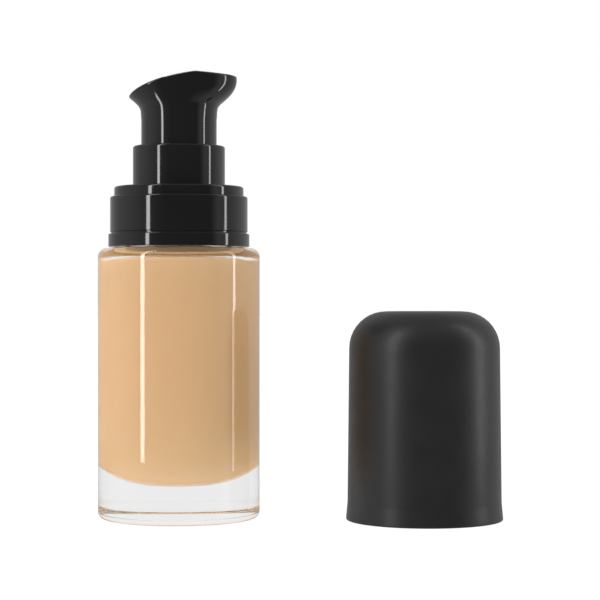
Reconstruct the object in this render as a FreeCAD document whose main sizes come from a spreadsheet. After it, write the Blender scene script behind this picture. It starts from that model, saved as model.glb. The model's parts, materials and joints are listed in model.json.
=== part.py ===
import FreeCAD, Part
import os
import Sketcher

# Foundation bottle: a round glass bottle under a treatment pump, with its over-cap
# standing mouth down beside it. Millimetres, +Z up, the origin at the centre of the
# bottle's foot, and the pump's spout towards -X.

SIZES = {
    # glass bottle
    "glass_radius": 18.0,
    "shoulder_height": 60.0,
    "glass_bore": 15.5,
    "glass_floor": 7.7,
    "inner_shoulder": 58.4,
    "inner_slope": 0.6,
    "neck_root": 10.8,
    "neck_bore": 7.5,
    "neck_top": 70.2,
    "foot_radius": 13.4,
    "punt_radius": 11.2,
    "punt_edge": 0.6,
    "punt_depth": 0.9,
    "base_round": 2.0,
    "shoulder_round": 1.9,
    "floor_round": 12.0,
    "inner_round": 1.5,
    # neck finish: one ridge on the glass, one inside the closure
    "thread_pitch": 3.175,
    "half_pitch": 1.5875,
    "thread_turns": 1.25,
    "ridge_base": 0.62,
    "ridge_tip": 0.3,
    "glass_crest": 11.85,
    "closure_crest": 11.05,
    "glass_thread_start": 63.4,
    "thread_bite": 0.25,
    # closure, its over-sleeve and the guide tower
    "closure_bottom": 60.4,
    "closure_top": 73.7,
    "closure_bore": 12.1,
    "closure_radius": 14.4,
    "deck_bottom": 72.25,
    "deck_hole": 9.05,
    "sleeve_bore": 14.45,
    "sleeve_radius": 15.3,
    "sleeve_top": 71.5,
    "foot_band_radius": 15.7,
    "foot_band_top": 63.2,
    "groove_width": 0.4,
    "groove_depth": 0.2,
    "guide_radius": 10.25,
    "guide_bore": 8.65,
    "guide_top": 82.75,
    "spigot_radius": 9.0,
    "spigot_bore": 8.0,
    "spigot_bottom": 72.6,
    "edge_round": 0.45,
    # pump: barrel, valve and seals
    "gasket_radius": 11.0,
    "gasket_bore": 5.8,
    "gasket_bottom": 70.22,
    "flange_radius": 11.2,
    "flange_bottom": 71.0,
    "flange_top": 72.2,
    "barrel_radius": 5.3,
    "barrel_bore": 4.3,
    "barrel_floor": 50.6,
    "barrel_foot": 49.0,
    "cage_lip": 1.35,
    "cage_bore": 1.9,
    "cage_top": 50.0,
    "seat_top": 47.6,
    "seat_bottom": 46.7,
    "inlet_radius": 1.0,
    "socket_top": 45.5,
    "socket_bottom": 38.5,
    "socket_radius": 2.9,
    "socket_bore": 1.9,
    "ball_radius": 1.5,
    "ball_height": 47.85,
    "tube_radius": 1.88,
    "tube_bore": 1.2,
    "tube_bottom": 9.7,
    "tube_slant": 2.4,
    # retainer
    "retainer_bottom": 68.0,
    "retainer_plug": 4.28,
    "retainer_radius": 7.6,
    "retainer_rim": 73.4,
    "retainer_nose": 4.4,
    "retainer_top": 75.2,
    "stem_hole": 2.55,
    # plunger: rod, stem, piston and spring
    "spring_radius": 2.3,
    "wire_radius": 0.3,
    "spring_turns": 6.0,
    "rod_bottom": 62.0,
    "rod_flange": 2.8,
    "rod_flange_top": 62.6,
    "rod_neck": 1.2,
    "rod_neck_start": 64.2,
    "rod_neck_end": 66.2,
    "rod_shank": 1.28,
    "rod_top": 74.0,
    "rod_blade": 0.5,
    "stem_radius": 2.5,
    "stem_bore": 1.3,
    "stem_collar": 3.0,
    "stem_bottom": 66.0,
    "stem_collar_top": 67.95,
    "stem_top": 90.0,
    "piston_bore": 1.55,
    "piston_hub": 3.4,
    "piston_root": 3.9,
    "piston_waist": 4.1,
    "piston_lip": 4.27,
    "piston_bottom": 62.4,
    "piston_top": 67.0,
    "piston_hub_bottom": 63.9,
    "piston_hub_top": 65.1,
    "lip_height": 0.6,
    "lip_blend": 0.4,
    # push head
    "column_radius": 8.4,
    "column_bottom": 79.0,
    "column_top": 90.2,
    "skirt_bore": 7.3,
    "skirt_ceiling": 88.6,
    "socket_wall": 3.6,
    "head_socket_bottom": 80.8,
    "head_socket_bore": 2.53,
    "head_socket_top": 90.05,
    "spout_radius": 1.1,
    "spout_height": 92.9,
    "spout_reach": 13.0,
    "spout_drop": 4.0,
    "crown_centre": 15.0,
    "crown_base": 89.2,
    "crown_rise": 10.6,
    "crown_length": 29.2,
    "crown_width": 48.0,
    "roof_reach": 20.0,
    "roof_height": 99.12,
    "heel_height": 97.85,
    # over-cap
    "cap_place": 54.5,
    "cap_forward": -4.0,
    "cap_height": 46.0,
    "cap_rim": 17.36,
    "cap_waist": 17.0,
    "cap_waist_height": 4.0,
    "cap_shoulder": 16.55,
    "cap_round": 8.1,
    "cap_mouth": 15.75,
    "cap_mouth_depth": 3.6,
    "cap_bore": 15.4,
    "cap_bore_start": 4.0,
    "cap_ceiling": 44.5,
    "cap_inner_round": 6.8,
    "liner_radius": 15.38,
    "liner_bore": 14.6,
    "liner_bottom": 12.0,
    "liner_top": 34.0,
    "bead_bore": 14.42,
    "bead_bottom": 12.8,
    "bead_top": 13.4,
}

# Horizontal sections of the funnel under the crown, as (height, reach towards the
# spout, reach towards the heel, half width). The crown cuts the last of them away.
HEAD_SECTIONS = [
    (90.2, 8.4, 8.4, 8.4),
    (91.1, 8.6, 8.46, 8.44),
    (91.6, 8.98, 8.66, 8.5),
    (92.3, 9.7, 9.34, 8.6),
    (93.3, 10.82, 10.66, 8.74),
    (94.7, 12.4, 11.88, 8.9),
    (96.6, 14.58, 12.74, 9.05),
    (98.2, 16.42, 12.95, 9.12),
    (99.8, 18.26, 12.93, 9.15),
]
for number, section in enumerate(HEAD_SECTIONS):
    for word, size in zip(("height", "spout", "heel", "width"), section):
        SIZES[f"section_{word}_{number}"] = size

os.makedirs("parts", exist_ok=True)
doc = FreeCAD.newDocument("foundation_bottle")
sheet = doc.addObject("Spreadsheet::Sheet", "Sizes")
for row, (alias, size) in enumerate(SIZES.items(), 1):
    sheet.set(f"A{row}", alias)
    sheet.set(f"B{row}", str(size))
    sheet.setAlias(f"B{row}", alias)
doc.recompute()


def amount(words):
    """The value of a sum such as "neck_root - thread_bite", in millimetres."""
    total, sign = 0.0, 1
    for word in str(words).split():
        if word in ("+", "-"):
            sign = 1 if word == "+" else -1
        else:
            total += sign * (SIZES[word] if word in SIZES else float(word))
    return total


def formula(words):
    """The same sum, written for the cells of the sheet."""
    return " ".join(f"Sizes.{word}" if word in SIZES else word for word in str(words).split())


def bind(thing, **sums):
    """Bind properties to sums of cells; a double underscore stands for a dot."""
    for name, words in sums.items():
        thing.setExpression(name.replace("__", "."), formula(words))


def new_body(label):
    return doc.addObject("PartDesign::Body", label)


def new_sketch(body, name):
    """Sketch on the body's own XZ plane, so that it is drawn as (radius, height)."""
    sketch = body.newObject("Sketcher::SketchObject", f"{body.Label}_{name}")
    plane = next(item for item in body.Origin.OriginFeatures if item.Role == "XZ_Plane")
    sketch.AttachmentSupport = (plane, [""])
    sketch.MapMode = "FlatFace"
    return sketch


def hold(sketch, line, end, across, up):
    """Hold one point of the sketch at the sums across and up from the origin."""
    for kind, words, axis in (("DistanceX", across, -2), ("DistanceY", up, -1)):
        if amount(words) == 0:
            sketch.addConstraint(Sketcher.Constraint("PointOnObject", line, end, axis))
        else:
            size = Sketcher.Constraint(kind, -1, 1, line, end, amount(words))
            number = sketch.addConstraint(size)
            sketch.setExpression(f"Constraints[{number}]", formula(words))


def outline(body, name, corners):
    """Closed outline of straight sides through corners given as (radius, height)."""
    sketch = new_sketch(body, name)
    spots = [FreeCAD.Vector(amount(across), amount(up), 0) for across, up in corners]
    for here, there in zip(spots, spots[1:] + spots[:1]):
        sketch.addGeometry(Part.LineSegment(here, there), False)
    for line in range(len(spots)):
        following = (line + 1) % len(spots)
        sketch.addConstraint(Sketcher.Constraint("Coincident", line, 2, following, 1))
    for line, (across, up) in enumerate(corners):
        hold(sketch, line, 1, across, up)
    return sketch


def turned(label, corners):
    """Body turned about +Z from an outline."""
    body = new_body(label)
    sketch = outline(body, "outline", corners)
    feature = body.newObject("PartDesign::Revolution", f"{label}_turned")
    feature.Profile = sketch
    feature.ReferenceAxis = (sketch, ["V_Axis"])
    feature.Angle = 360.0
    body.Tip = feature
    return body


def rounded(body, radius, *rings):
    """Round the circular edges that lie at the given (radius, height) pairs."""
    doc.recompute()
    base = body.Tip
    names = []
    for number, edge in enumerate(base.Shape.Edges, 1):
        if not isinstance(edge.Curve, Part.Circle):
            continue
        for across, up in rings:
            same_radius = abs(edge.Curve.Radius - amount(across)) < 0.001
            if same_radius and abs(edge.Curve.Center.z - amount(up)) < 0.001:
                names.append(f"Edge{number}")
    if len(names) != len(rings):
        raise RuntimeError(f"{body.Label}: {len(names)} edges found for {len(rings)} rings")
    feature = body.newObject("PartDesign::Fillet", f"{body.Label}_{radius}")
    feature.Base = (base, names)
    bind(feature, Radius=radius)
    body.Tip = feature


def wound(body, name, sketch, pitch, turns):
    """Add a right-handed helix of the sketch's section about +Z."""
    feature = body.newObject("PartDesign::AdditiveHelix", f"{body.Label}_{name}")
    feature.Profile = sketch
    feature.ReferenceAxis = (sketch, ["V_Axis"])
    feature.Mode = "pitch-turns-angle"
    feature.setExpression("Pitch", pitch)
    feature.setExpression("Turns", turns)
    feature.LeftHanded = False
    body.Tip = feature


def thread_ridge(body, root, crest, middle):
    """Trapezoid thread ridge from the root, sunk into the wall, out to the crest."""
    sketch = outline(body, "ridge", [
        (root, f"{middle} - ridge_base"),
        (crest, f"{middle} - ridge_tip"),
        (crest, f"{middle} + ridge_tip"),
        (root, f"{middle} + ridge_base"),
    ])
    wound(body, "thread", sketch, formula("thread_pitch"), formula("thread_turns"))


def cylinder(name, radius, bottom, top):
    """Plain upright cylinder about +Z, between two heights."""
    solid = doc.addObject("Part::Cylinder", name)
    bind(solid, Radius=radius, Height=f"{top} - {bottom}", Placement__Base__z=bottom)
    return solid


def combined(kind, label, base, tool):
    """Boolean of two objects: kind is Cut, Fuse or Common."""
    result = doc.addObject(f"Part::{kind}", label)
    result.Base = base
    result.Tool = tool
    return result


# ---------------------------------------------------------------- bottle

def glass_bottle():
    body = turned("glass_bottle", [
        ("foot_radius", 0),
        ("glass_radius", 0),
        ("glass_radius", "shoulder_height"),
        ("neck_root", "shoulder_height"),
        ("neck_root", "neck_top"),
        ("neck_bore", "neck_top"),
        ("neck_bore", "inner_shoulder + inner_slope"),
        ("glass_bore", "inner_shoulder"),
        ("glass_bore", "glass_floor"),
        (0, "glass_floor"),
        (0, "punt_depth"),
        ("punt_radius", "punt_edge"),
    ])
    rounded(body, "base_round", ("glass_radius", 0))
    rounded(body, "shoulder_round", ("glass_radius", "shoulder_height"))
    rounded(body, "floor_round", ("glass_bore", "glass_floor"))
    rounded(body, "inner_round", ("glass_bore", "inner_shoulder"))
    thread_ridge(body, "neck_root - thread_bite", "glass_crest", "glass_thread_start")
    return body


def foundation_liquid():
    """The fill, with a stepped well that the pump hangs in and can be lifted from."""
    body = turned("foundation_liquid", [
        (0, "glass_floor"),
        ("glass_bore", "glass_floor"),
        ("glass_bore", "inner_shoulder"),
        ("neck_bore", "inner_shoulder + inner_slope"),
        ("barrel_radius + 0.3", "inner_shoulder + inner_slope"),
        ("barrel_radius + 0.3", "socket_top - 1.0"),
        ("socket_radius + 0.2", "socket_top - 1.0"),
        ("socket_radius + 0.2", "socket_bottom - 0.3"),
        ("tube_radius + 0.2", "socket_bottom - 0.3"),
        ("tube_radius + 0.2", "tube_bottom - 0.3"),
        (0, "tube_bottom - 0.3"),
    ])
    rounded(body, "floor_round", ("glass_bore", "glass_floor"))
    rounded(body, "inner_round", ("glass_bore", "inner_shoulder"))
    return body


# ---------------------------------------------------------------- pump

def neck_gasket():
    return turned("neck_gasket", [
        ("gasket_bore", "gasket_bottom"),
        ("gasket_radius", "gasket_bottom"),
        ("gasket_radius", "flange_bottom"),
        ("gasket_bore", "flange_bottom"),
    ])


def pump_housing():
    """Flanged barrel, ball cage, 45 degree ball seat and the dip tube's socket."""
    return turned("pump_housing", [
        ("socket_bore", "socket_bottom"),
        ("socket_radius", "socket_bottom"),
        ("socket_radius", "socket_top"),
        ("barrel_radius", "barrel_foot"),
        ("barrel_radius", "flange_bottom"),
        ("flange_radius", "flange_bottom"),
        ("flange_radius", "flange_top"),
        ("barrel_bore", "flange_top"),
        ("barrel_bore", "barrel_floor"),
        ("cage_lip", "barrel_floor"),
        ("cage_lip", "cage_top"),
        ("cage_bore", "cage_top"),
        ("cage_bore", "seat_top"),
        ("inlet_radius", "seat_bottom"),
        ("inlet_radius", "socket_top"),
        ("socket_bore", "socket_top"),
    ])


def housing_retainer():
    return turned("housing_retainer", [
        ("stem_hole", "retainer_bottom"),
        ("retainer_plug", "retainer_bottom"),
        ("retainer_plug", "flange_top"),
        ("retainer_radius", "flange_top"),
        ("retainer_radius", "retainer_rim"),
        ("retainer_nose", "retainer_top"),
        ("stem_hole", "retainer_top"),
    ])


def check_ball():
    ball = doc.addObject("Part::Sphere", "check_ball")
    bind(ball, Radius="ball_radius", Placement__Base__z="ball_height")
    return ball


def dip_tube():
    """Straight tube with its foot cut on a slant."""
    body = turned("dip_tube", [
        ("tube_bore", "tube_bottom"),
        ("tube_radius", "tube_bottom"),
        ("tube_radius", "socket_top"),
        ("tube_bore", "socket_top"),
    ])
    wedge = outline(body, "slant", [
        ("0 - tube_radius - 0.2", "tube_bottom - 0.2"),
        ("tube_radius + 0.2", "tube_bottom - 0.2"),
        ("tube_radius + 0.2", "tube_bottom + tube_slant"),
    ])
    cut_through(body, wedge)
    return body


def cut_through(body, sketch):
    """Pocket a sketch right through the body, both ways from its plane."""
    doc.recompute()
    before = body.Tip.Shape.Volume
    feature = body.newObject("PartDesign::Pocket", f"{sketch.Label}_cut")
    feature.Profile = sketch
    feature.Type = "ThroughAll"
    feature.Midplane = True
    body.Tip = feature
    doc.recompute()
    if not feature.Shape.Volume < before - 0.01:
        raise RuntimeError(f"{feature.Label} removes nothing")
    return feature


def return_spring():
    body = new_body("return_spring")
    sketch = new_sketch(body, "wire")
    start = "barrel_floor + wire_radius"
    centre = FreeCAD.Vector(amount("spring_radius"), amount(start), 0)
    sketch.addGeometry(Part.Circle(centre, FreeCAD.Vector(0, 0, 1), amount("wire_radius")), False)
    hold(sketch, 0, 3, "spring_radius", start)
    number = sketch.addConstraint(Sketcher.Constraint("Radius", 0, amount("wire_radius")))
    sketch.setExpression(f"Constraints[{number}]", formula("wire_radius"))
    span = "(Sizes.rod_bottom - Sizes.barrel_floor - 2 * Sizes.wire_radius)"
    wound(body, "coil", sketch, f"{span} / Sizes.spring_turns", formula("spring_turns"))
    return body


def piston_rod():
    """Spring seat, 45 degree valve cone, and a flat blade that lets the product past."""
    body = turned("piston_rod", [
        (0, "rod_bottom"),
        ("rod_flange", "rod_bottom"),
        ("rod_flange", "rod_flange_top"),
        ("rod_neck", "rod_neck_start"),
        ("rod_neck", "rod_neck_end"),
        ("rod_shank", "rod_neck_end"),
        ("rod_shank", "rod_top"),
        (0, "rod_top"),
    ])
    for name, near, far in (("left", "0 - rod_blade", "0 - rod_shank - 0.2"),
                            ("right", "rod_blade", "rod_shank + 0.2")):
        flat = outline(body, name, [
            (near, "rod_neck_start"),
            (far, "rod_neck_start"),
            (far, "rod_top + 0.2"),
            (near, "rod_top + 0.2"),
        ])
        cut_through(body, flat)
    return body


def stem_tube():
    return turned("stem_tube", [
        ("stem_bore", "stem_bottom"),
        ("stem_collar", "stem_bottom"),
        ("stem_collar", "stem_collar_top"),
        ("stem_radius", "stem_collar_top"),
        ("stem_radius", "stem_top"),
        ("stem_bore", "stem_top"),
    ])


def piston():
    """Hub that closes on the rod's cone, and a skirt with a lip at each end."""
    return turned("piston", [
        ("piston_bore", "piston_hub_bottom"),
        ("piston_hub", "piston_hub_bottom"),
        ("piston_root", "piston_bottom"),
        ("piston_lip", "piston_bottom"),
        ("piston_lip", "piston_bottom + lip_height"),
        ("piston_waist", "piston_bottom + lip_height + lip_blend"),
        ("piston_waist", "piston_top - lip_height - lip_blend"),
        ("piston_lip", "piston_top - lip_height"),
        ("piston_lip", "piston_top"),
        ("piston_root", "piston_top"),
        ("piston_hub", "piston_hub_top"),
        ("piston_bore", "piston_hub_top"),
    ])


# ---------------------------------------------------------------- collar

def screw_closure():
    body = turned("screw_closure", [
        ("closure_bore", "closure_bottom"),
        ("closure_radius", "closure_bottom"),
        ("closure_radius", "closure_top"),
        ("deck_hole", "closure_top"),
        ("deck_hole", "deck_bottom"),
        ("closure_bore", "deck_bottom"),
    ])
    rounded(body, "edge_round", ("closure_radius", "closure_top"))
    middle = "glass_thread_start - half_pitch"
    thread_ridge(body, "closure_bore + thread_bite", "closure_crest", middle)
    return body


def collar_shell():
    """Over-sleeve with a foot band and a fine groove above it."""
    body = turned("collar_shell", [
        ("sleeve_bore", "closure_bottom - 0.1"),
        ("foot_band_radius", "closure_bottom - 0.1"),
        ("foot_band_radius", "foot_band_top"),
        ("sleeve_radius - groove_depth", "foot_band_top"),
        ("sleeve_radius - groove_depth", "foot_band_top + groove_width"),
        ("sleeve_radius", "foot_band_top + groove_width"),
        ("sleeve_radius", "sleeve_top"),
        ("sleeve_bore", "sleeve_top"),
    ])
    rounded(body, "edge_round", ("sleeve_radius", "sleeve_top"))
    return body


def actuator_guide():
    """Tower that the push column slides in, with a spigot in the closure's deck."""
    body = turned("actuator_guide", [
        ("spigot_bore", "spigot_bottom"),
        ("spigot_radius", "spigot_bottom"),
        ("spigot_radius", "closure_top"),
        ("guide_radius", "closure_top"),
        ("guide_radius", "guide_top"),
        ("guide_bore", "guide_top"),
        ("guide_bore", "closure_top"),
        ("spigot_bore", "closure_top"),
    ])
    rounded(body, "edge_round", ("guide_radius", "guide_top"))
    return body


# ---------------------------------------------------------------- push head

def head_roof():
    """Block under the flat that falls from the crown's peak towards the heel."""
    body = new_body("head_roof")
    feature = body.newObject("PartDesign::Pad", "head_roof_block")
    feature.Profile = outline(body, "outline", [
        ("0 - roof_reach", "column_top"),
        ("roof_reach", "column_top"),
        ("roof_reach", "heel_height"),
        (0, "roof_height"),
        ("0 - roof_reach", "roof_height"),
    ])
    feature.Midplane = True
    bind(feature, Length="roof_reach + roof_reach")
    body.Tip = feature
    return body


def actuator():
    """Hollow push column with a spouted head under a domed crown."""
    sections = []
    for number in range(len(HEAD_SECTIONS)):
        section = doc.addObject("Part::Ellipse", f"head_section_{number}")
        spout, heel = f"Sizes.section_spout_{number}", f"Sizes.section_heel_{number}"
        section.setExpression("MajorRadius", f"({heel} + {spout}) / 2")
        section.setExpression("Placement.Base.x", f"({heel} - {spout}) / 2")
        bind(section, MinorRadius=f"section_width_{number}",
             Placement__Base__z=f"section_height_{number}")
        sections.append(section)
    funnel = doc.addObject("Part::Loft", "head_funnel")
    funnel.Sections = sections
    funnel.Solid = True

    crown = doc.addObject("Part::Ellipsoid", "head_crown")
    crown.Angle1 = -90.0
    crown.Angle2 = 90.0
    bind(crown, Radius1="crown_rise", Radius2="crown_length", Radius3="crown_width",
         Placement__Base__x="crown_centre", Placement__Base__z="crown_base")
    domed = combined("Common", "head_domed", funnel, crown)
    head = combined("Common", "head_solid", domed, head_roof())
    column = cylinder("head_column", "column_radius", "column_bottom", "column_top")
    whole = combined("Fuse", "head_whole", head, column)

    skirt = cylinder("skirt_space", "skirt_bore", "column_bottom - 1.0", "skirt_ceiling")
    post = cylinder("socket_post", "socket_wall", "head_socket_bottom", "skirt_ceiling + 1.0")
    hollow = combined("Cut", "skirt_hollow", skirt, post)
    opened = combined("Cut", "head_opened", whole, hollow)
    socket = cylinder("socket_hole", "head_socket_bore", "column_bottom", "head_socket_top")
    riser = cylinder("riser_hole", "stem_bore", "column_bottom", "spout_height")
    spout = doc.addObject("Part::Cylinder", "spout_hole")
    spout.Placement.Rotation = FreeCAD.Rotation(FreeCAD.Vector(0, -1, 0), 90 + amount("spout_drop"))
    bind(spout, Radius="spout_radius", Height="spout_reach", Placement__Base__z="spout_height",
         Placement__Rotation__Angle="90 + spout_drop")
    holes = doc.addObject("Part::MultiFuse", "head_holes")
    holes.Shapes = [socket, riser, spout]
    return combined("Cut", "actuator", opened, holes)


# ---------------------------------------------------------------- over-cap

def stand_beside(body):
    """Place an over-cap piece mouth down beside the bottle."""
    bind(body, Placement__Base__x="cap_place", Placement__Base__y="cap_forward")
    return body


def cap_shell():
    body = turned("cap_shell", [
        ("cap_mouth", 0),
        ("cap_rim", 0),
        ("cap_waist", "cap_waist_height"),
        ("cap_shoulder", "cap_height"),
        (0, "cap_height"),
        (0, "cap_ceiling"),
        ("cap_bore", "cap_ceiling"),
        ("cap_bore", "cap_bore_start"),
        ("cap_mouth", "cap_mouth_depth"),
    ])
    rounded(body, "cap_inner_round", ("cap_bore", "cap_ceiling"))
    rounded(body, "cap_round", ("cap_shoulder", "cap_height"))
    return stand_beside(body)


def cap_liner():
    """Inner sleeve whose bead grips the closure's upper step when the cap is on."""
    return stand_beside(turned("cap_liner", [
        ("liner_bore", "liner_bottom"),
        ("liner_radius", "liner_bottom"),
        ("liner_radius", "liner_top"),
        ("liner_bore", "liner_top"),
        ("liner_bore", "bead_top"),
        ("bead_bore", "bead_top"),
        ("bead_bore", "bead_bottom"),
        ("liner_bore", "bead_bottom"),
    ]))


PIECES = [
    glass_bottle, foundation_liquid,
    neck_gasket, pump_housing, housing_retainer, check_ball, dip_tube,
    return_spring, piston_rod, stem_tube, piston,
    screw_closure, collar_shell, actuator_guide,
    actuator,
    cap_shell, cap_liner,
]
nodes = [make() for make in PIECES]
doc.recompute()

for thing in doc.Objects:
    if "Invalid" in thing.State or "Error" in thing.State:
        raise RuntimeError(f"{thing.Label} failed: {thing.State}")
for node in nodes:
    if node.Shape.isNull() or not node.Shape.isValid() or not node.Shape.Solids:
        raise RuntimeError(f"{node.Label} has no valid solid")
for node in nodes:
    box = node.Shape.BoundBox
    print(f"{node.Label}: {node.Shape.Volume:.1f} mm3, solids {len(node.Shape.Solids)}, "
          f"z {box.ZMin:.2f} to {box.ZMax:.2f}")
    node.Shape.exportStep(f"parts/{node.Label}.step")
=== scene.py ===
import json
import math

import bmesh
import bpy
from mathutils import Matrix, Vector


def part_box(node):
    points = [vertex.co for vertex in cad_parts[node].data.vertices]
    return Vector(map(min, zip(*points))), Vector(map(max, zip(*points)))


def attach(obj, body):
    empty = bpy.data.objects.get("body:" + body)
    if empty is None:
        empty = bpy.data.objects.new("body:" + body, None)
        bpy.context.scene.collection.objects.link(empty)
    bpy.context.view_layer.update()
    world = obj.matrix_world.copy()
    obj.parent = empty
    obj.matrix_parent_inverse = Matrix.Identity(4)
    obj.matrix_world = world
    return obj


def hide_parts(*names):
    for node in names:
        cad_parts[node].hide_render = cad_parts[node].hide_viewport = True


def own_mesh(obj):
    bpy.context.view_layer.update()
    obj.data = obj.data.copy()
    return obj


# Looks of the foundation bottle: clear glass over an opaque fill, glossy black pump parts,
# a matte over-cap and the small parts inside. Lengths are in metres; MM turns millimetres
# into them. Every outline is (radius, height, rounding) about a vertical axis.

MM = 0.001
SEGMENTS = 192          # steps round a turned piece
ARC_STEP = math.radians(9)
SHARP_ANGLE = math.radians(32)
GUARD_SHARE = 0.12      # a guard point's distance from its rounding, as a share of that rounding
AXIS_RADIUS = 1e-6      # points nearer the axis than this lie on it

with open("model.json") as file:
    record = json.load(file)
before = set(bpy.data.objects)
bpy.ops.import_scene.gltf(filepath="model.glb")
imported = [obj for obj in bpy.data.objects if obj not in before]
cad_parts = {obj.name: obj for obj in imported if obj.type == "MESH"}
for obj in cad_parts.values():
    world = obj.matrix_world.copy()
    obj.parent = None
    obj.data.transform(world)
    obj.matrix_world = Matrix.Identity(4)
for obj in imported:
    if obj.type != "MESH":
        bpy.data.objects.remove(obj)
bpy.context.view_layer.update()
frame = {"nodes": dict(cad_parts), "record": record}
nodes = frame["nodes"]


# ---------------------------------------------------------------- sizes from the frame

def outer(node):
    """(largest radius, lowest height, highest height) of a node turned about +Z."""
    low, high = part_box(node)
    return (high.x - low.x) / 2, low.z, high.z


FACET_MARGIN = 0.01 * MM        # the CAD mesh is faceted, so its box is a hair narrower across
glass_radius, _, neck_top = outer("glass_bottle")
glass_radius -= FACET_MARGIN
fill_radius, glass_floor, fill_top = outer("foundation_liquid")
band_radius, sleeve_bottom, sleeve_top = outer("collar_shell")
closure_radius, closure_bottom, closure_top = outer("screw_closure")
guide_radius, spigot_bottom, guide_top = outer("actuator_guide")
cap_radius, _, cap_top = outer("cap_shell")
liner_radius, liner_bottom, liner_top = outer("cap_liner")
cap_low, cap_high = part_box("cap_shell")
head_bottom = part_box("actuator")[0].z
cap_centre = (cap_low + cap_high) / 2
stem_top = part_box("stem_tube")[1].z
tube_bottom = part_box("dip_tube")[0].z
socket_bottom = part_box("pump_housing")[0].z
THREAD_PITCH, THREAD_TURNS, THREAD_START = 3.175 * MM, 1.25, 63.4 * MM
THREAD_BITE = 0.1 * MM          # how far a ridge's foot reaches into its wall


# ---------------------------------------------------------------- meshes

def finish_mesh(name, bm, material, body, sharp=SHARP_ANGLE):
    """Turn a bmesh into a smooth-shaded piece that rides on a body."""
    bmesh.ops.recalc_face_normals(bm, faces=bm.faces)
    mesh = bpy.data.meshes.new(name)
    bm.to_mesh(mesh)
    bm.free()
    mesh.shade_smooth()
    mesh.set_sharp_from_angle(angle=sharp)
    mesh.materials.append(material)
    piece = bpy.data.objects.new(name, mesh)
    bpy.context.scene.collection.objects.link(piece)
    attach(piece, body)
    return piece


def rounded(corners):
    """Points of a closed outline whose corners are rounded by tangent arcs."""
    points = []
    count = len(corners)
    for index, (radius, height, rounding) in enumerate(corners):
        here = Vector((radius, height))
        if rounding == 0:
            points.append(here)
            continue
        before = Vector(corners[index - 1][:2]) - here
        after = Vector(corners[(index + 1) % count][:2]) - here
        half = before.angle(after) / 2
        reach = rounding / math.tan(half)
        start = here + before.normalized() * reach
        end = here + after.normalized() * reach
        bisector = (before.normalized() + after.normalized()).normalized()
        centre = here + bisector * (rounding / math.sin(half))
        turn = math.pi - 2 * half
        steps = max(3, math.ceil(turn / ARC_STEP))
        # one more point just outside each end keeps the long faces evenly shaded
        guard = GUARD_SHARE * rounding
        points.append(start + before.normalized() * guard)
        for step in range(steps + 1):
            share = step / steps
            from_start = (start - centre) * math.sin((1 - share) * turn)
            from_end = (end - centre) * math.sin(share * turn)
            points.append(centre + (from_start + from_end) / math.sin(turn))
        points.append(end + after.normalized() * guard)
    return points


def lathe(name, corners, material, body, centre=(0, 0)):
    """Piece turned about the vertical line at centre from a closed outline."""
    bm = bmesh.new()
    rings = []
    for radius, height in rounded(corners):
        if radius < AXIS_RADIUS:
            rings.append([bm.verts.new((centre[0], centre[1], height))])
            continue
        ring = []
        for step in range(SEGMENTS):
            angle = 2 * math.pi * step / SEGMENTS
            x, y = centre[0] + radius * math.cos(angle), centre[1] + radius * math.sin(angle)
            ring.append(bm.verts.new((x, y, height)))
        rings.append(ring)
    for lower, upper in zip(rings, rings[1:] + rings[:1]):
        for step in range(SEGMENTS):
            following = (step + 1) % SEGMENTS
            if len(lower) == 1 and len(upper) == 1:
                break
            if len(lower) == 1:
                bm.faces.new((lower[0], upper[following], upper[step]))
            elif len(upper) == 1:
                bm.faces.new((lower[step], lower[following], upper[0]))
            else:
                bm.faces.new((lower[step], lower[following], upper[following], upper[step]))
    return finish_mesh(name, bm, material, body)


def swept(name, sections, material, body):
    """Closed solid through a list of equal closed sections, capped at both ends."""
    bm = bmesh.new()
    rings = [[bm.verts.new(point) for point in section] for section in sections]
    for lower, upper in zip(rings, rings[1:]):
        for index in range(len(lower)):
            following = (index + 1) % len(lower)
            bm.faces.new((lower[index], lower[following], upper[following], upper[index]))
    bm.faces.new(rings[0])
    bm.faces.new(rings[-1])
    return finish_mesh(name, bm, material, body)


def thread_ridge(name, root, crest, start, material, body):
    """Helical thread ridge from root to crest radius, fading in and out at its ends."""
    steps = round(THREAD_TURNS * SEGMENTS)
    fade = SEGMENTS / 12        # a twelfth of a turn
    half_foot, half_tip = 0.62 * MM, 0.3 * MM
    sections = []
    for step in range(steps + 1):
        angle = 2 * math.pi * step / SEGMENTS
        height = start + THREAD_PITCH * step / SEGMENTS
        strength = min(1.0, (step + 1) / fade, (steps + 1 - step) / fade)
        tip = root + (crest - root) * strength
        section = []
        for radius, rise in ((root, -half_foot), (tip, -half_tip), (tip, half_tip), (root, half_foot)):
            place = (radius * math.cos(angle), radius * math.sin(angle), height + rise * strength)
            section.append(place)
        sections.append(section)
    return swept(name, sections, material, body)


# ---------------------------------------------------------------- materials

NOISE_LOW, NOISE_HIGH = 0.3, 0.7        # the part of a noise's range that varies a finish


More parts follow.
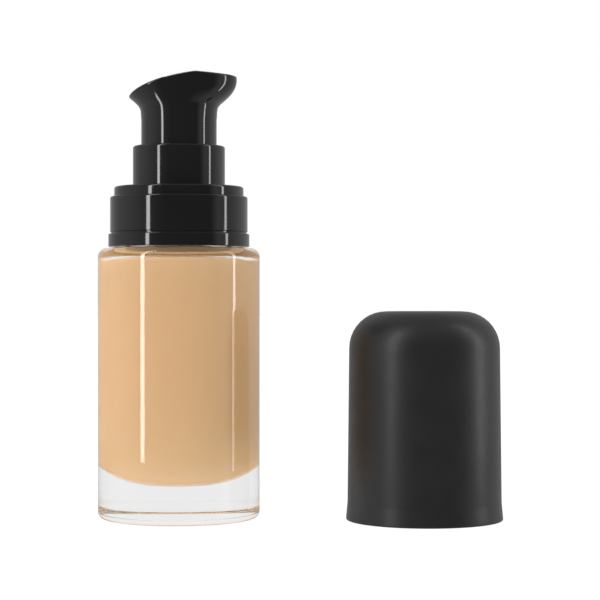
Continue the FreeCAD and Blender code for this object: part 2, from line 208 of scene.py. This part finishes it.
class Paint:
    """A material under construction: its nodes, its links and its Principled shader."""

    def __init__(self, name, **sockets):
        self.material = bpy.data.materials.new(name)
        self.material.use_nodes = True
        self.tree = self.material.node_tree
        self.shader = self.tree.nodes["Principled BSDF"]
        self.coordinates = self.tree.nodes.new("ShaderNodeTexCoord")
        for socket, value in sockets.items():
            self.shader.inputs[socket.replace("_", " ")].default_value = value

    def noise(self, scale, detail=3.0, stretch=(1, 1, 1)):
        """Noise in the object's own space, stretched along its axes."""
        mapping = self.tree.nodes.new("ShaderNodeMapping")
        mapping.inputs["Scale"].default_value = stretch
        texture = self.tree.nodes.new("ShaderNodeTexNoise")
        texture.inputs["Scale"].default_value = scale
        texture.inputs["Detail"].default_value = detail
        self.tree.links.new(self.coordinates.outputs["Object"], mapping.inputs["Vector"])
        self.tree.links.new(mapping.outputs["Vector"], texture.inputs["Vector"])
        return texture.outputs["Fac"]

    def spread(self, source, socket, low, high):
        """Drive a shader socket between two values from a noise output."""
        span = self.tree.nodes.new("ShaderNodeMapRange")
        span.inputs["From Min"].default_value = NOISE_LOW
        span.inputs["From Max"].default_value = NOISE_HIGH
        span.inputs["To Min"].default_value = low
        span.inputs["To Max"].default_value = high
        self.tree.links.new(source, span.inputs["Value"])
        self.tree.links.new(span.outputs["Result"], self.shader.inputs[socket])

    def tint(self, source, dark, light):
        """Vary the base colour between two colours."""
        ramp = self.tree.nodes.new("ShaderNodeValToRGB")
        low, high = ramp.color_ramp.elements
        low.position, low.color = NOISE_LOW, (*dark, 1)
        high.position, high.color = NOISE_HIGH, (*light, 1)
        self.tree.links.new(source, ramp.inputs["Fac"])
        self.tree.links.new(ramp.outputs["Color"], self.shader.inputs["Base Color"])

    def bump(self, source, strength, distance):
        """Raise the surface by a noise output, up to a distance in metres."""
        node = self.tree.nodes.new("ShaderNodeBump")
        node.inputs["Strength"].default_value = strength
        node.inputs["Distance"].default_value = distance
        self.tree.links.new(source, node.inputs["Height"])
        self.tree.links.new(node.outputs["Normal"], self.shader.inputs["Normal"])


def gloss_black():
    """High-gloss moulded plastic with the faint unevenness of a moulding."""
    paint = Paint("gloss_black", IOR=1.5)
    paint.tint(paint.noise(60), (0.0042, 0.0042, 0.0048), (0.0060, 0.0060, 0.0066))
    paint.spread(paint.noise(220), "Roughness", 0.05, 0.085)
    paint.bump(paint.noise(90, stretch=(1, 1, 0.4)), 0.03, 0.0004)
    return paint.material


def matte_black():
    """Soft matte finish with a very fine grain."""
    paint = Paint("matte_black", IOR=1.46)
    paint.tint(paint.noise(140), (0.0090, 0.0090, 0.0098), (0.0110, 0.0110, 0.0119))
    paint.spread(paint.noise(400), "Roughness", 0.36, 0.42)
    paint.bump(paint.noise(5200, detail=2.0), 0.12, 0.00004)
    return paint.material


def liner_black():
    """Satin moulded plastic, streaked a little along the draw of the mould."""
    paint = Paint("liner_black", IOR=1.5)
    paint.tint(paint.noise(90), (0.010, 0.010, 0.011), (0.014, 0.014, 0.015))
    paint.spread(paint.noise(300, stretch=(1, 1, 0.15)), "Roughness", 0.28, 0.4)
    paint.bump(paint.noise(900, stretch=(1, 1, 0.1)), 0.08, 0.00005)
    return paint.material


def clear_glass():
    """Clear pressed glass with the faint waviness of its mould."""
    paint = Paint("clear_glass", IOR=1.5, Transmission_Weight=1.0)
    paint.tint(paint.noise(20), (0.970, 0.972, 0.971), (0.982, 0.983, 0.982))
    paint.spread(paint.noise(60), "Roughness", 0.03, 0.05)
    paint.bump(paint.noise(45, detail=1.0), 0.04, 0.0006)
    return paint.material


def foundation():
    """Opaque tan cream with slow drifts of pigment."""
    paint = Paint("foundation", IOR=1.42, Subsurface_Weight=0.12, Subsurface_Scale=0.002)
    paint.shader.inputs["Subsurface Radius"].default_value = (1.0, 0.5, 0.3)
    drift = paint.noise(35, stretch=(1, 1, 0.35))
    paint.tint(drift, (0.832, 0.535, 0.272), (0.852, 0.557, 0.290))
    paint.spread(paint.noise(80), "Roughness", 0.10, 0.16)
    paint.bump(paint.noise(70, stretch=(1, 1, 0.5)), 0.05, 0.0003)
    return paint.material


def natural_plastic():
    """Uncoloured polypropylene: milky, a little translucent."""
    paint = Paint("natural_plastic", IOR=1.49, Subsurface_Weight=0.3, Subsurface_Scale=0.001)
    paint.tint(paint.noise(120), (0.74, 0.755, 0.75), (0.80, 0.81, 0.80))
    paint.spread(paint.noise(400), "Roughness", 0.28, 0.38)
    paint.bump(paint.noise(1500), 0.05, 0.00003)
    return paint.material


def soft_seal():
    """Soft waxy polyethylene of the gasket and the piston."""
    paint = Paint("soft_seal", IOR=1.5, Subsurface_Weight=0.2, Subsurface_Scale=0.001)
    paint.tint(paint.noise(200), (0.70, 0.70, 0.68), (0.77, 0.77, 0.75))
    paint.spread(paint.noise(600), "Roughness", 0.45, 0.58)
    paint.bump(paint.noise(2500), 0.08, 0.00003)
    return paint.material


def steel():
    """Drawn stainless steel, with fine drawing lines."""
    paint = Paint("steel", Metallic=1.0, Anisotropic=0.4)
    paint.tint(paint.noise(900), (0.52, 0.52, 0.53), (0.62, 0.62, 0.63))
    paint.spread(paint.noise(2400), "Roughness", 0.18, 0.3)
    paint.bump(paint.noise(4000, stretch=(1, 1, 0.1)), 0.06, 0.00002)
    return paint.material


MATERIALS = {
    "gloss_black": gloss_black(),
    "matte_black": matte_black(),
    "liner_black": liner_black(),
    "clear_glass": clear_glass(),
    "foundation": foundation(),
    "natural_plastic": natural_plastic(),
    "soft_seal": soft_seal(),
    "steel": steel(),
}
SLOTS = {entry["node"]: entry["material_slot"] for entry in frame["record"]["subparts"]}

for name, node in nodes.items():
    node.data.materials.clear()
    node.data.materials.append(MATERIALS[SLOTS[name]])


def stands_for(piece, node):
    """A piece that replaces a CAD node, which is hidden."""
    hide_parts(node)
    return piece


# ---------------------------------------------------------------- bottle and fill

NECK_ROOT, NECK_CREST, NECK_BORE = 10.8 * MM, 11.85 * MM, 7.5 * MM
SHOULDER, INNER_SHOULDER = 60.0 * MM, 58.4 * MM
INNER_SLOPE = 0.6 * MM          # rise of the inner shoulder from the wall to the neck
FLOOR_ROUND = 12.0 * MM         # the floor inside is a bowl


def bottle():
    """Thick-based glass on a foot ring round a shallow punt, and the ridge of its neck thread."""
    glass = MATERIALS["clear_glass"]
    foot_inside, punt_edge = 13.4 * MM, 11.2 * MM
    punt_height, punt_edge_height = 0.9 * MM, 0.6 * MM
    lip_round = 0.4 * MM
    piece = lathe("bottle_glass", [
        (foot_inside, 0, 0.7 * MM),
        (glass_radius, 0, 1.5 * MM),
        (glass_radius, SHOULDER, 1.9 * MM),
        (NECK_ROOT, SHOULDER, 0.5 * MM),
        (NECK_ROOT, neck_top, lip_round),
        (NECK_BORE, neck_top, lip_round),
        (NECK_BORE, INNER_SHOULDER + INNER_SLOPE, 0),
        (fill_radius, INNER_SHOULDER, 1.5 * MM),
        (fill_radius, glass_floor, FLOOR_ROUND),
        (0, glass_floor, 0),
        (0, punt_height, 0),
        (punt_edge, punt_edge_height, 2.0 * MM),
    ], glass, "bottle")
    stands_for(piece, "glass_bottle")
    root = NECK_ROOT - THREAD_BITE
    ridge = thread_ridge("bottle_thread", root, NECK_CREST, THREAD_START, glass, "bottle")


def fill():
    """The cream wets the glass: it laps into the wall by a hair, so no air shows between.
    A pocket of air is left under the shoulder's corner, 14.1 to 15.5 mm from the axis. The
    rounding there is longer than the flat beside it, so the outline doubles back, and a thin
    lip of cream above the pocket reaches into the glass as far as lip_edge. This is a fault."""
    wet, drop = 0.03 * MM, 0.08 * MM
    lip_edge, lip_top = 15.2 * MM, 15.0 * MM
    film = INNER_SHOULDER + INNER_SLOPE * (fill_radius - lip_top) / (fill_radius - NECK_BORE)
    well, well_floor = 5.6 * MM, 44.5 * MM          # room for the pump's barrel
    socket, tube = 3.1 * MM, 2.08 * MM              # room for the dip tube and its socket
    under = 0.3 * MM
    piece = lathe("cream", [
        (0, glass_floor - wet, 0),
        (fill_radius + wet, glass_floor - wet, FLOOR_ROUND),
        (fill_radius + wet, INNER_SHOULDER - drop, 1.45 * MM),
        (lip_edge, INNER_SHOULDER - drop, 0),
        (lip_top, film + wet, 0),
        (NECK_BORE, fill_top + wet, 0),
        (well, fill_top + wet, 0.2 * MM),
        (well, well_floor, 0),
        (socket, well_floor, 0),
        (socket, socket_bottom - under, 0),
        (tube, socket_bottom - under, 0),
        (tube, tube_bottom - under, 0),
        (0, tube_bottom - under, 0),
    ], MATERIALS["foundation"], "bottle")
    stands_for(piece, "foundation_liquid")


# ---------------------------------------------------------------- collar

CLOSURE_BORE, CLOSURE_CREST = 12.1 * MM, 11.05 * MM


def collar():
    """Over-sleeve with its foot band, the closure it covers with its thread, and the guide tower."""
    black = MATERIALS["gloss_black"]
    sleeve_bore, sleeve_radius = 14.45 * MM, 15.3 * MM
    band_top, groove, groove_floor = 63.2 * MM, 0.4 * MM, 15.1 * MM
    # the roundings above the groove overlap, so the ledge there doubles back by 0.02 mm
    sleeve = lathe("collar_sleeve", [
        (sleeve_bore, sleeve_bottom, 0.1 * MM),
        (band_radius, sleeve_bottom, 0.2 * MM),
        (band_radius, band_top, 0.22 * MM),
        (groove_floor, band_top, 0.08 * MM),
        (groove_floor, band_top + groove, 0.08 * MM),
        (sleeve_radius, band_top + groove, 0.12 * MM),
        (sleeve_radius, sleeve_top, 0.42 * MM),
        (sleeve_bore, sleeve_top, 0.12 * MM),
    ], black, "collar")
    stands_for(sleeve, "collar_shell")

    guide_hole, ceiling = 9.05 * MM, 72.25 * MM
    closure = lathe("closure", [
        (CLOSURE_BORE, closure_bottom, 0.2 * MM),
        (closure_radius, closure_bottom, 0.2 * MM),
        (closure_radius, closure_top, 0.5 * MM),
        (guide_hole, closure_top, 0.1 * MM),
        (guide_hole, ceiling, 0.1 * MM),
        (CLOSURE_BORE, ceiling, 0.4 * MM),
    ], black, "collar")
    stands_for(closure, "screw_closure")
    root, start = CLOSURE_BORE + THREAD_BITE, THREAD_START - THREAD_PITCH / 2
    ridge = thread_ridge("closure_thread", root, CLOSURE_CREST, start, black, "collar")

    spigot_bore, spigot_radius, guide_bore = 8.0 * MM, 9.0 * MM, 8.65 * MM
    guide = lathe("guide_tower", [
        (spigot_bore, spigot_bottom, 0.15 * MM),
        (spigot_radius, spigot_bottom, 0.15 * MM),
        (spigot_radius, closure_top, 0),
        (guide_radius, closure_top, 0.15 * MM),
        (guide_radius, guide_top, 0.5 * MM),
        (guide_bore, guide_top, 0.2 * MM),
        (guide_bore, closure_top, 0),
        (spigot_bore, closure_top, 0.1 * MM),
    ], black, "collar")
    stands_for(guide, "actuator_guide")


# ---------------------------------------------------------------- push head

COLUMN_RADIUS = 8.4 * MM
FLARE_START = 88.7 * MM
SPOUT_START, SPOUT_SLOPE, SPOUT_EASE = 91.25 * MM, 1.13, 0.7 * MM
HEEL_START, HEEL_EASE, HEEL_CLIMB = 91.8 * MM, 0.7 * MM, 5.8 * MM
HEEL_REACH, HEEL_POWER = 4.5 * MM, 2.15
WIDENING, WIDENING_CLIMB, WIDENING_POWER = 0.68 * MM, 8.0 * MM, 0.7
POINTING, POINTING_EASE, POINTING_CLIMB = 0.22, 1.0 * MM, 6.0 * MM     # how the spout narrows
CROWN_CENTRE, CROWN_BASE = 15.0 * MM, 89.2 * MM
CROWN_RISE, CROWN_LENGTH, CROWN_WIDTH = 10.6 * MM, 29.2 * MM, 48.0 * MM
ROOF_HEIGHT, ROOF_FALL = 99.12 * MM, 0.0635
RIM_INSET, RIM_DROP, RIM_STEPS = 0.42 * MM, 0.36 * MM, 6
RIM_MIDDLE = 1.0 * MM   # x of the point that the rim is inset towards
RISER_TOP, RISER_RADIUS = 92.9 * MM, 1.3 * MM
LEVELS = 26             # rings up the funnel
HALVINGS = 40           # steps of the search for the rim
STATIONS = 480          # steps from the spout's tip to the heel
ACROSS = 20             # steps across the crown
HEAD_SHARP_ANGLE = math.radians(50)
RIB_PITCH, RIB_DEPTH = 0.5 * MM, 0.2 * MM
RIB_FROM, RIB_TO, RIB_FADE = -3.0 * MM, 10.6 * MM, 0.6 * MM


def eased(distance, ease):
    """Distance where it is positive and nothing where it is negative, with a soft start."""
    return (distance + math.sqrt(distance * distance + ease * ease)) / 2


def crown_height(x, y):
    """Domed crown cut by a flat that falls towards the heel, with fine cross ribs."""
    inside = 1 - ((x - CROWN_CENTRE) / CROWN_LENGTH) ** 2 - (y / CROWN_WIDTH) ** 2
    dome = CROWN_BASE + CROWN_RISE * math.sqrt(max(inside, 0.0))
    roof = ROOF_HEIGHT - ROOF_FALL * x
    top = min(dome, roof)
    fade = min(max(min(x - RIB_FROM, RIB_TO - x) / RIB_FADE, 0), 1)
    return top - RIB_DEPTH * fade * (1 - math.cos(2 * math.pi * x / RIB_PITCH)) / 2


def spout_reach(height):
    """How far the flare reaches towards the spout: a straight slope with a soft start."""
    return COLUMN_RADIUS + SPOUT_SLOPE * eased(height - SPOUT_START, SPOUT_EASE)


def heel_reach(height):
    """How far the bowl reaches towards the heel: steep at first, upright at the rim."""
    climbed = min(eased(height - HEEL_START, HEEL_EASE) / HEEL_CLIMB, 1)
    return COLUMN_RADIUS + HEEL_REACH * (1 - (1 - climbed) ** HEEL_POWER)


def head_point(share, side, height):
    """Point of the funnel at a height; share runs from -1 at the spout to 1 at the heel."""
    spout, heel = spout_reach(height), heel_reach(height)
    x = (heel - spout) / 2 + share * (heel + spout) / 2
    climb = min(eased(height - SPOUT_START, POINTING_EASE) / POINTING_CLIMB, 1)
    power = 0.5 + (POINTING * climb * share * share if share < 0 else 0)
    widened = min(eased(height - SPOUT_START, SPOUT_EASE) / WIDENING_CLIMB, 1) ** WIDENING_POWER
    width = COLUMN_RADIUS + WIDENING * widened
    y = side * width * max(1 - share * share, 0) ** power
    return x, y, height


def rim_height(share):
    """Height at which the funnel meets the crown, found by halving."""
    low, high = FLARE_START, CROWN_BASE + CROWN_RISE
    for _ in range(HALVINGS):
        middle = (low + high) / 2
        x, y, _ = head_point(share, 1, middle)
        if middle < crown_height(x, y):
            low = middle
        else:
            high = middle
    return low


def push_head():
    """Column and spouted head as one closed skin: inside, outside, soft rim and crown."""
    shares = [-math.cos(math.pi * step / STATIONS) for step in range(STATIONS + 1)]
    walk = [(share, -1) for share in shares] + [(share, 1) for share in shares[-2:0:-1]]
    rims = {share: rim_height(share) for share in shares}
    bm = bmesh.new()

    def ring(radius, height):
        spots = []
        for share, side in walk:
            y = side * radius * math.sqrt(max(1 - share * share, 0))
            spots.append(bm.verts.new((share * radius, y, height)))
        return spots

    def rim_ring(part):
        """Ring of a soft rim: part 0 lies on the wall and part 1 on the crown."""
        spots = []
        for share, side in walk:
            edge = Vector(head_point(share, side, rims[share]))
            wall = Vector(head_point(share, side, rims[share] - RIM_DROP))
            inward = Vector((RIM_MIDDLE - edge.x, -edge.y, 0)).normalized() * RIM_INSET
            x, y = edge.x + inward.x, edge.y + inward.y
            crown = Vector((x, y, crown_height(x, y)))
            spot = wall * (1 - part) ** 2 + edge * 2 * part * (1 - part) + crown * part ** 2
            spots.append(bm.verts.new(spot))
        return spots

    # inside: blind bore over the stem, socket post, ceiling and skirt wall
    bore, post, skirt = 2.53 * MM, 3.6 * MM, 7.3 * MM
    ceiling, post_bottom = 88.6 * MM, 80.8 * MM
    socket_top = stem_top + 0.05 * MM
    edge_cut = 0.15 * MM
    column_steps = 5
    rings = [ring(RISER_RADIUS, RISER_TOP), ring(RISER_RADIUS, socket_top),
             ring(bore, socket_top), ring(bore, post_bottom), ring(post, post_bottom),
             ring(post, ceiling), ring(skirt, ceiling), ring(skirt, head_bottom),
             ring(COLUMN_RADIUS - edge_cut, head_bottom), ring(COLUMN_RADIUS, head_bottom + edge_cut)]
    for step in range(1, column_steps + 1):
        height = head_bottom + (FLARE_START - head_bottom) * step / column_steps
        rings.append(ring(COLUMN_RADIUS, height))
    for level in range(1, LEVELS):
        spots = []
        for share, side in walk:
            top = rims[share] - RIM_DROP
            height = FLARE_START + (top - FLARE_START) * level / LEVELS
            spots.append(bm.verts.new(head_point(share, side, height)))
        rings.append(spots)
    rings += [rim_ring(step / RIM_STEPS) for step in range(RIM_STEPS + 1)]
    count = len(walk)
    for lower, upper in zip(rings, rings[1:]):
        for index in range(count):
            following = (index + 1) % count
            bm.faces.new((lower[index], lower[following], upper[following], upper[index]))
    bm.faces.new(rings[0])

    # crown: rows across from the near rim to the far rim at each station
    rim = rings[-1]
    rows = []
    for station in range(1, STATIONS):
        near, far = rim[station], rim[count - station]
        row = [near]
        for step in range(1, ACROSS):
            y = near.co.y + (far.co.y - near.co.y) * step / ACROSS
            row.append(bm.verts.new((near.co.x, y, crown_height(near.co.x, y))))
        rows.append(row + [far])
    for left, right in zip(rows, rows[1:]):
        for step in range(ACROSS):
            bm.faces.new((left[step], right[step], right[step + 1], left[step + 1]))
    for row, tip in ((rows[0], rim[0]), (rows[-1], rim[STATIONS])):
        for step in range(ACROSS):
            bm.faces.new((row[step], row[step + 1], tip))
    piece = finish_mesh("push_head", bm, MATERIALS["gloss_black"], "head", sharp=HEAD_SHARP_ANGLE)
    bore_spout(piece)
    stands_for(piece, "actuator")


def bore_spout(piece):
    """Cut the outlet: a bore that falls a little from the stem's riser to the spout's underside."""
    fall, radius, length = math.radians(4), 1.1 * MM, 13.0 * MM
    bm = bmesh.new()
    bmesh.ops.create_cone(bm, cap_ends=True, segments=48, radius1=radius, radius2=radius, depth=length)
    middle = -length / 2
    turn = Matrix.Rotation(math.pi / 2 - fall, 4, "Y")
    place = Matrix.Translation((middle, 0, RISER_TOP + middle * math.tan(fall)))
    bmesh.ops.transform(bm, matrix=place @ turn, verts=bm.verts)
    mesh = bpy.data.meshes.new("spout_cutter")
    bm.to_mesh(mesh)
    bm.free()
    cutter = bpy.data.objects.new("spout_cutter", mesh)
    bpy.context.scene.collection.objects.link(cutter)
    step = piece.modifiers.new("outlet", "BOOLEAN")
    step.operation = "DIFFERENCE"
    step.solver = "EXACT"
    step.object = cutter
    graph = bpy.context.evaluated_depsgraph_get()
    solid = bpy.data.meshes.new_from_object(piece.evaluated_get(graph))
    piece.modifiers.clear()
    piece.data = solid
    bpy.data.objects.remove(cutter)


# ---------------------------------------------------------------- spring

def spring():
    """Compression spring with closed end coils."""
    wire, mean = 0.3 * MM, 2.3 * MM         # radius of the wire and of its coils
    seat, length = 50.6 * MM, 11.4 * MM
    low, high = seat + wire, seat + length - wire
    turns, end_turns = 7.5, 1.0
    steps_per_turn, around = 40, 12
    closed = 2 * wire * 1.02                # closed coils lie a hair apart
    open_pitch = (high - low - 2 * end_turns * closed) / (turns - 2 * end_turns)
    sections = []
    height = low
    for step in range(round(turns * steps_per_turn) + 1):
        turn = step / steps_per_turn
        if step:
            ends = turn <= end_turns or turn > turns - end_turns
            height += (closed if ends else open_pitch) / steps_per_turn
        angle = 2 * math.pi * turn
        section = []
        for point in range(around):
            lean = 2 * math.pi * point / around
            radius, rise = mean + wire * math.cos(lean), wire * math.sin(lean)
            section.append((radius * math.cos(angle), radius * math.sin(angle), height + rise))
        sections.append(section)
    piece = swept("spring_coil", sections, MATERIALS["steel"], "pump")
    stands_for(piece, "return_spring")
    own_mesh(piece)


# ---------------------------------------------------------------- over-cap

def over_cap():
    """Domed over-cap with a flared rim, and the liner with the bead that grips the closure."""
    centre = (cap_centre.x, cap_centre.y)
    rim_bore, rim_bore_top = 15.75 * MM, 3.6 * MM
    flare_top, flare_radius, top_radius = 4.0 * MM, 17.0 * MM, 16.55 * MM
    inside, ceiling = 15.4 * MM, 44.5 * MM
    shell = lathe("over_cap", [
        (rim_bore, 0, 0.2 * MM),
        (cap_radius, 0, 0.35 * MM),
        (flare_radius, flare_top, 5.0 * MM),
        (top_radius, cap_top, 8.1 * MM),
        (0, cap_top, 0),
        (0, ceiling, 0),
        (inside, ceiling, 6.8 * MM),
        (inside, flare_top, 0.1 * MM),
        (rim_bore, rim_bore_top, 0.1 * MM),
    ], MATERIALS["matte_black"], "cap", centre)
    stands_for(shell, "cap_shell")
    liner_bore, bead_bore = 14.6 * MM, 14.42 * MM
    bead_bottom, bead_top = 12.8 * MM, 13.4 * MM
    liner = lathe("over_cap_liner", [
        (liner_bore, liner_bottom, 0.1 * MM),
        (liner_radius, liner_bottom, 0.15 * MM),
        (liner_radius, liner_top, 0.15 * MM),
        (liner_bore, liner_top, 0.1 * MM),
        (liner_bore, bead_top, 0.05 * MM),
        (bead_bore, bead_top, 0.1 * MM),
        (bead_bore, bead_bottom, 0.1 * MM),
        (liner_bore, bead_bottom, 0.05 * MM),
    ], MATERIALS["liner_black"], "cap", centre)
    stands_for(liner, "cap_liner")


bottle()
fill()
collar()
push_head()
spring()
over_cap()


# ---------------------------------------------------------------- stage, light and camera

def studio_floor():
    """Pale floor that glows enough to run into the background; polished pieces do not show it."""
    bm = bmesh.new()
    bmesh.ops.create_circle(bm, cap_ends=True, segments=96, radius=4.0)
    mesh = bpy.data.meshes.new("studio_floor")
    bm.to_mesh(mesh)
    bm.free()
    paint = Paint("studio_floor", Roughness=0.8, Emission_Strength=0.9, Specular_IOR_Level=0.0)
    paint.shader.inputs["Emission Color"].default_value = (1, 1, 1, 1)
    paint.tint(paint.noise(6), (0.13, 0.13, 0.13), (0.15, 0.15, 0.15))
    mesh.materials.append(paint.material)
    floor = bpy.data.objects.new("studio_floor", mesh)
    floor.visible_glossy = False
    floor.visible_transmission = False
    bpy.context.scene.collection.objects.link(floor)


# brightness of the room by bearing: degrees from the viewer's side, positive to the right
REFLECTED_ROOM = [(-180, 0.45), (-115, 0.50), (-90, 0.60), (-70, 0.50), (-40, 0.25), (-22, 0.14),
                  (58, 0.13), (72, 0.62), (92, 0.48), (120, 0.58), (180, 0.45)]
LIGHTING_ROOM = [(-180, 1.50), (-135, 1.92), (-95, 2.00), (-55, 1.55), (0, 1.12), (60, 1.04),
                 (110, 1.20), (180, 1.50)]
OVERHEAD, UNDERFOOT, BEHIND_GLASS = 0.4, 0.6, 0.88
BRIGHTEST = 4.0         # the ramps hold brightness as a share of this


def room_ramp(tree, bearing, stops):
    """Brightness around the horizon, read from a list of (bearing, brightness)."""
    ramp = tree.nodes.new("ShaderNodeValToRGB")
    elements = ramp.color_ramp.elements
    while len(elements) < len(stops):
        elements.new(0.5)
    for element, (angle, level) in zip(elements, stops):
        element.position = angle / 360 + 0.5
        share = level / BRIGHTEST
        element.color = (share, share, share, 1)
    full = tree.nodes.new("ShaderNodeMath")
    full.operation = "MULTIPLY"
    full.inputs[1].default_value = BRIGHTEST
    tree.links.new(bearing, ramp.inputs["Fac"])
    tree.links.new(ramp.outputs["Color"], full.inputs[0])
    return full.outputs["Value"]


def studio_sky():
    """Room that lights from the left, reads dark from the viewer's side in polished pieces,
    and is white behind the object."""
    world = bpy.data.worlds.new("studio")
    bpy.context.scene.world = world
    world.use_nodes = True
    tree = world.node_tree
    background = tree.nodes["Background"]
    coordinates = tree.nodes.new("ShaderNodeTexCoord")
    split = tree.nodes.new("ShaderNodeSeparateXYZ")
    tree.links.new(coordinates.outputs["Generated"], split.inputs["Vector"])

    def feed(socket, value):
        """Set a socket to a number, or link it to another node's output."""
        if isinstance(value, float):
            socket.default_value = value
        else:
            tree.links.new(value, socket)

    def math_node(operation, *values):
        node = tree.nodes.new("ShaderNodeMath")
        node.operation = operation
        for socket, value in zip(node.inputs, values):
            feed(socket, value)
        return node.outputs["Value"]

    def blend_by(factor, first, second):
        """The first value where the factor is 0, the second where it is 1."""
        node = tree.nodes.new("ShaderNodeMix")
        feed(node.inputs["Factor"], factor)
        feed(node.inputs["A"], first)
        feed(node.inputs["B"], second)
        return node.outputs["Result"]

    def rise(start, end):
        """Runs from 0 to 1 as the direction's height goes from start to end."""
        node = tree.nodes.new("ShaderNodeMapRange")
        node.inputs["From Min"].default_value = start
        node.inputs["From Max"].default_value = end
        tree.links.new(split.outputs["Z"], node.inputs["Value"])
        return node.outputs["Result"]

    towards_viewer = math_node("MULTIPLY", split.outputs["Y"], -1.0)
    angle = math_node("ARCTAN2", split.outputs["X"], towards_viewer)
    bearing = math_node("MULTIPLY_ADD", angle, 0.5 / math.pi, 0.5)
    level_room = room_ramp(tree, bearing, REFLECTED_ROOM)
    upper_room = blend_by(rise(0.35, 0.85), level_room, OVERHEAD)
    reflected = blend_by(rise(-0.2, -0.6), upper_room, UNDERFOOT)
    path = tree.nodes.new("ShaderNodeLightPath")
    lighting = room_ramp(tree, bearing, LIGHTING_ROOM)
    diffused = math_node("MINIMUM", path.outputs["Diffuse Depth"], 1.0)
    through = blend_by(diffused, BEHIND_GLASS, lighting)
    # a ray that passed through glass counts as glossy as well, so it is taken out again
    bounced = math_node("SUBTRACT", path.outputs["Is Glossy Ray"], path.outputs["Is Transmission Ray"])
    bounced.node.use_clamp = True
    lit = blend_by(bounced, through, reflected)
    seen = blend_by(path.outputs["Is Camera Ray"], lit, 1.0)
    tree.links.new(seen, background.inputs["Color"])
    background.inputs["Strength"].default_value = 1.0


def strip_light(name, bearing, distance, width, span, glow):
    """Upright soft strip that faces the bottle's axis, as bright as glow over its whole area.
    The bearing is in degrees from the viewer's side, positive to the right."""
    bottom, top = span
    lamp = bpy.data.lights.new(name, "AREA")
    lamp.shape = "RECTANGLE"
    lamp.size = width
    lamp.size_y = top - bottom
    lamp.energy = glow * math.pi * width * (top - bottom)
    holder = bpy.data.objects.new(name, lamp)
    bpy.context.scene.collection.objects.link(holder)
    turn = math.radians(bearing)
    holder.location = (distance * math.sin(turn), -distance * math.cos(turn), (bottom + top) / 2)
    holder.rotation_euler = (math.pi / 2, 0, turn)
    holder.visible_camera = False
    holder.visible_transmission = False


def viewpoint():
    """Level view from a little right of the bottle's axis, just below half its height."""
    lens = bpy.data.cameras.new("viewpoint")
    lens.sensor_width = 36.0
    lens.lens = 114.0
    lens.shift_y = -0.0083
    lens.clip_start = 0.01
    holder = bpy.data.objects.new("viewpoint", lens)
    bpy.context.scene.collection.objects.link(holder)
    holder.location = (27.0 * MM, -424.0 * MM, 49.6 * MM)
    holder.rotation_euler = (math.pi / 2, 0, 0)
    bpy.context.scene.camera = holder


studio_floor()
studio_sky()
strip_light("left_strip", -47.6, 0.35, 0.037, (-0.015, 0.7), 10.5)
strip_light("right_strip", 84.8, 0.20, 0.015, (0.0, 0.3), 7.8)
# the over-cap hides the right strip from the lower half of the glass, so a thin one stands between them
strip_light("right_low_strip", 64.4, 0.0322, 0.0018, (0.010, 0.0462), 3.4)
viewpoint()
bpy.context.scene.view_settings.view_transform = "Standard"
# light crosses the thick glass base many times; a shorter path would end in black there
light_paths = bpy.context.scene.cycles
light_paths.max_bounces, light_paths.glossy_bounces, light_paths.transmission_bounces = 128, 96, 96
